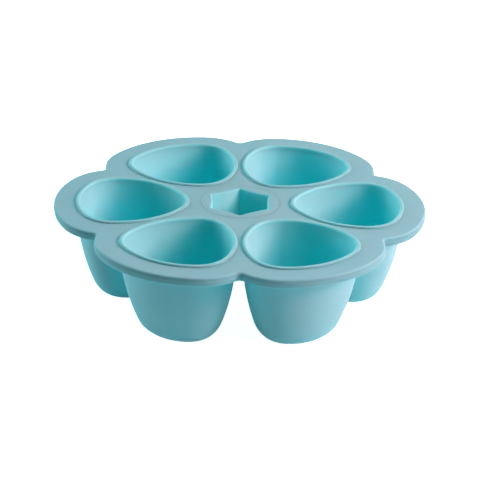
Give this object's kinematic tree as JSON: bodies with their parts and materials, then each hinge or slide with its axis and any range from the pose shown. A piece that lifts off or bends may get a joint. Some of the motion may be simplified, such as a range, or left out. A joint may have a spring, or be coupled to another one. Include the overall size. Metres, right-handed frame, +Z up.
{
  "type": "silicone freezer tray",
  "caption": "Scalloped silicone freezer tray: tapering portion cups with raised lips hang through a flat deck with a turned-down edge and a star-shaped opening in the middle.",
  "frame": {"origin": "middle of the surface that the feet stand on, below the star opening", "axes": "+X from the middle through one cup to its lobe's tip, +Y through a notch between two lobes, +Z up out of the cups' mouths"},
  "size_m": [0.24, 0.2266, 0.0625],
  "materials": {
    "silicone": "matt turquoise silicone with a soft sheen"
  },
  "bodies": {
    "root": {"deck": "silicone", "cup_1": "silicone", "cup_2": "silicone", "cup_3": "silicone", "cup_4": "silicone", "cup_5": "silicone", "cup_6": "silicone", "centre_star": "silicone"}
  },
  "joints": []
}
